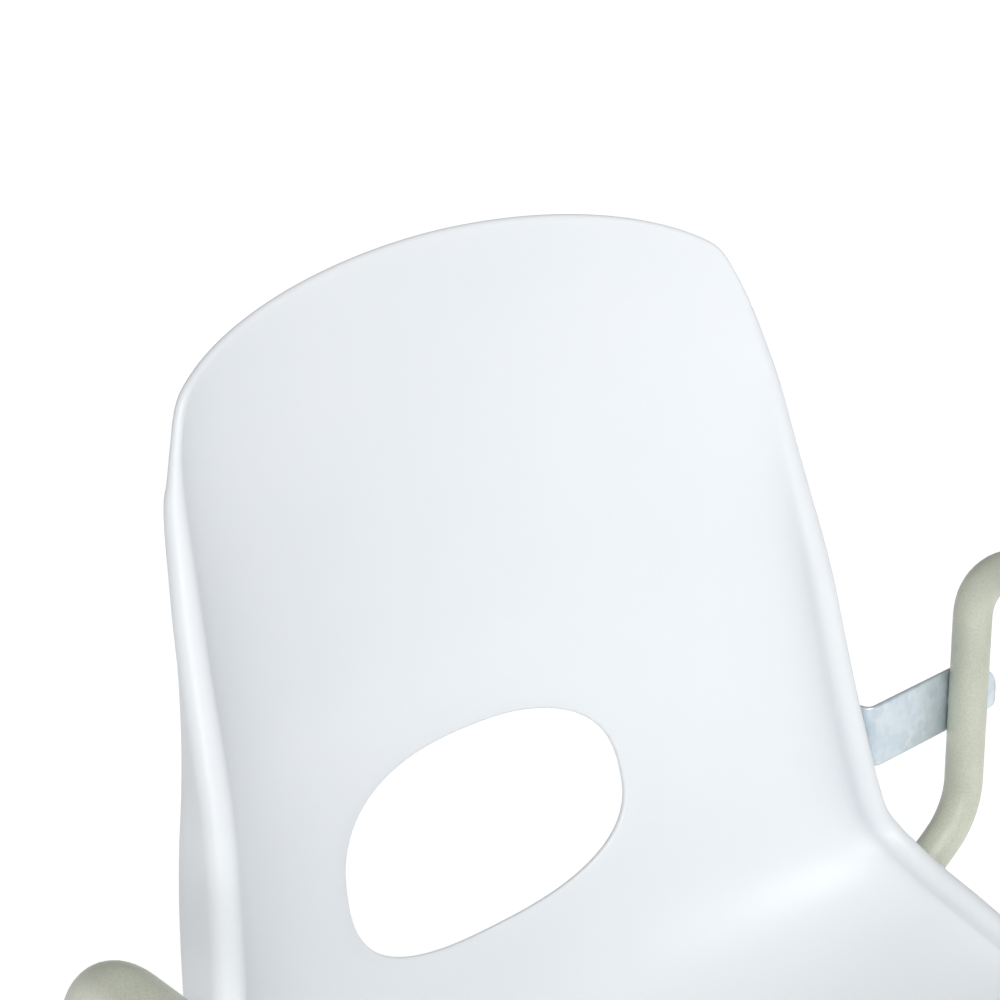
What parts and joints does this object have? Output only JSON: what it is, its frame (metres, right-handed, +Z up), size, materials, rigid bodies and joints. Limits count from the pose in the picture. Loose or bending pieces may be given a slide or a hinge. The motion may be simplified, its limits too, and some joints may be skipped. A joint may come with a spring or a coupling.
{
  "type": "shower chair",
  "caption": "Swivelling shower chair with a moulded seat shell, an opening low in the back, tubular arms, a turntable with a lock, and a four-legged telescopic base.",
  "frame": {"origin": "centre of the footprint on the floor, under the swivel axis", "axes": "+Z up; the sitter faces -Y; the sitter's left is +X"},
  "size_m": [0.686, 0.608, 0.8573],
  "materials": {
    "shell_plastic": "white moulded plastic, satin sheen",
    "coated_tube": "cream nylon coating, soft sheen",
    "zinc_steel": "zinc-plated steel, pale blue-grey",
    "bright_steel": "bright turned steel",
    "black_plastic": "black moulded plastic, fine grain",
    "white_bearing_plastic": "white acetal",
    "grey_rubber": "dark grey rubber"
  },
  "bodies": {
    "base": {"turntable_bottom_plate": "zinc_steel", "lower_race_ring": "bright_steel", "bearing_balls": "bright_steel", "pivot_bolt": "zinc_steel", "pivot_nut": "zinc_steel", "pivot_washers": "zinc_steel", "plate_bolts": "zinc_steel", "plate_nuts": "zinc_steel", "front_cross_rail": "coated_tube", "rear_cross_rail": "coated_tube", "left_leg_hoop": "coated_tube", "right_leg_hoop": "coated_tube", "leg_collars": "black_plastic", "clamp_bosses": "coated_tube"},
    "seat": {"seat_shell": "shell_plastic", "shell_spacers": "black_plastic", "shell_bolts": "zinc_steel", "left_arm_tube": "coated_tube", "right_arm_tube": "coated_tube", "front_socket_tube": "zinc_steel", "rear_socket_tube": "zinc_steel", "arm_clamp_screws": "zinc_steel", "left_rail": "zinc_steel", "right_rail": "zinc_steel", "left_back_strap": "zinc_steel", "right_back_strap": "zinc_steel", "strap_post_bolts": "zinc_steel", "strap_shell_screws": "zinc_steel", "turntable_top_plate": "zinc_steel", "upper_race_ring": "bright_steel", "pivot_bush": "white_bearing_plastic", "lock_pin_guide": "zinc_steel", "lever_bracket": "zinc_steel", "lever_pivot_pin": "bright_steel"},
    "lever": {"lock_lever": "zinc_steel", "lever_grip": "black_plastic"},
    "lock": {"lock_pin": "bright_steel", "lock_cross_pin": "bright_steel"},
    "leg_fl": {"inner_leg_fl": "zinc_steel", "foot_fl": "grey_rubber"},
    "knob_fl": {"clamp_knob_fl": "black_plastic"},
    "leg_fr": {"inner_leg_fr": "zinc_steel", "foot_fr": "grey_rubber"},
    "knob_fr": {"clamp_knob_fr": "black_plastic"},
    "leg_rl": {"inner_leg_rl": "zinc_steel", "foot_rl": "grey_rubber"},
    "knob_rl": {"clamp_knob_rl": "black_plastic"},
    "leg_rr": {"inner_leg_rr": "zinc_steel", "foot_rr": "grey_rubber"},
    "knob_rr": {"clamp_knob_rr": "black_plastic"}
  },
  "joints": [
    {"name": "seat_swivel", "type": "hinge", "parent": "base", "child": "seat", "pos_m": [0, 0, 0.365], "axis": [0, 0, 1], "continuous": true},
    {"name": "lock_lever", "type": "hinge", "parent": "seat", "child": "lever", "pos_m": [-0.118, 0, 0.396], "axis": [0, 1, 0], "range_deg": [0, 12.3]},
    {"name": "lock_pin_drop", "type": "slide", "parent": "seat", "child": "lock", "axis": [0, 0, -1], "range_m": [0, 0.0065]},
    {"name": "leg_slide_fl", "type": "slide", "parent": "base", "child": "leg_fl", "axis": [0.1774, -0.1971, -0.9642], "range_m": [0, 0.1]},
    {"name": "leg_slide_fr", "type": "slide", "parent": "base", "child": "leg_fr", "axis": [-0.1774, -0.1971, -0.9642], "range_m": [0, 0.1]},
    {"name": "leg_slide_rl", "type": "slide", "parent": "base", "child": "leg_rl", "axis": [0.1774, 0.1971, -0.9642], "range_m": [0, 0.1]},
    {"name": "leg_slide_rr", "type": "slide", "parent": "base", "child": "leg_rr", "axis": [-0.1774, 0.1971, -0.9642], "range_m": [0, 0.1]},
    {"name": "clamp_turn_fl", "type": "hinge", "parent": "base", "child": "knob_fl", "pos_m": [0.24556, -0.26007, 0.122], "axis": [0.9835, 0, 0.1809], "range_deg": [-360, 0]},
    {"name": "clamp_turn_fr", "type": "hinge", "parent": "base", "child": "knob_fr", "pos_m": [-0.24556, -0.26007, 0.122], "axis": [-0.9835, 0, 0.1809], "range_deg": [-360, 0]},
    {"name": "clamp_turn_rl", "type": "hinge", "parent": "base", "child": "knob_rl", "pos_m": [0.24556, 0.26007, 0.122], "axis": [0.9835, 0, 0.1809], "range_deg": [-360, 0]},
    {"name": "clamp_turn_rr", "type": "hinge", "parent": "base", "child": "knob_rr", "pos_m": [-0.24556, 0.26007, 0.122], "axis": [-0.9835, 0, 0.1809], "range_deg": [-360, 0]}
  ],
  "couplings": [
    {"joint": "lock_pin_drop", "follows": "lock_lever", "m_per_rad": 0.03}
  ]
}
